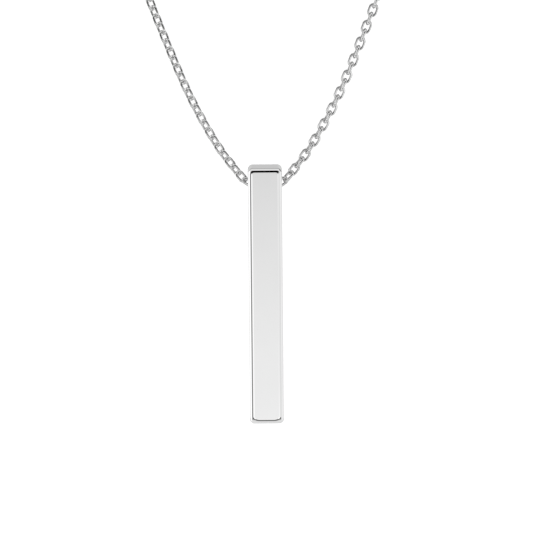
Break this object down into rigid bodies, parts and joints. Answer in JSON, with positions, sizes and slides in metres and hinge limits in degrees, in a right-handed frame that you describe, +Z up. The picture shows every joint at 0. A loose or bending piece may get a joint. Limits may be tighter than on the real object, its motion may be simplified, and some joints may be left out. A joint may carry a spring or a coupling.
{
  "type": "bar pendant necklace",
  "caption": "Polished square bar pendant with rounded edges, hanging from a fine oval link cable chain that runs through a cross bore near its top and closes with a barrel clasp.",
  "frame": {"origin": "middle of the clasp, where the necklace hangs on the nape of the neck", "axes": "+Z up, -Y towards the wearer's front where the bar hangs, +X along the clasp towards the wearer's left"},
  "size_m": [0.0986, 0.1216, 0.1489],
  "materials": {
    "polished_bar": "mirror polished, silver tone",
    "chain_metal": "bright drawn wire, silver tone",
    "clasp_metal": "bright polished, silver tone"
  },
  "bodies": {
    "necklace": {"chain_front": "chain_metal", "chain_back": "chain_metal", "clasp": "clasp_metal"},
    "bar": {"bar": "polished_bar"}
  },
  "joints": [
    {"name": "bar_swing", "type": "hinge", "parent": "necklace", "child": "bar", "pos_m": [0, -0.118, -0.11255], "axis": [1, 0, 0], "range_deg": [-90, 90]}
  ]
}
